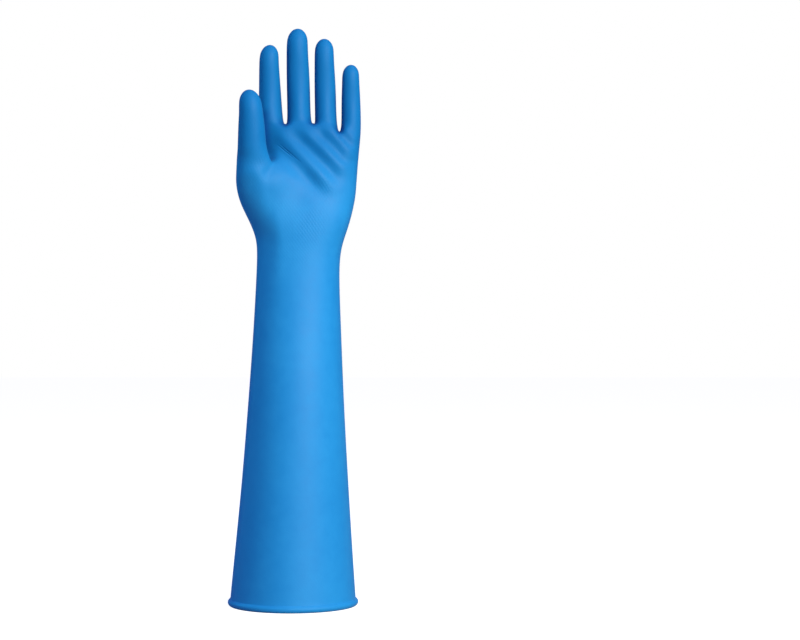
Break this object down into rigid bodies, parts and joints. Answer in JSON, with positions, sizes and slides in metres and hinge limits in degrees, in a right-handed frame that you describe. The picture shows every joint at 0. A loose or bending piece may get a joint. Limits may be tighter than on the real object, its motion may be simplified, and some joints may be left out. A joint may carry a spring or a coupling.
{
  "type": "long-cuff nitrile glove",
  "caption": "Seamless shoulder-length nitrile work glove for the left hand, with a rolled cuff, standing open and hollow in its dipped shape.",
  "frame": {"origin": "centre of the rolled cuff's rest face, on the surface that the glove stands on", "axes": "+Z along the sleeve to the fingertips, -Y the way the palm faces, +X from the thumb's side to the little finger's side"},
  "size_m": [0.1294, 0.1268, 0.56],
  "materials": {
    "nitrile": "blue dipped nitrile film, satin, with a fine embossed diamond grip pattern"
  },
  "bodies": {
    "root": {"glove": "nitrile"}
  },
  "joints": []
}
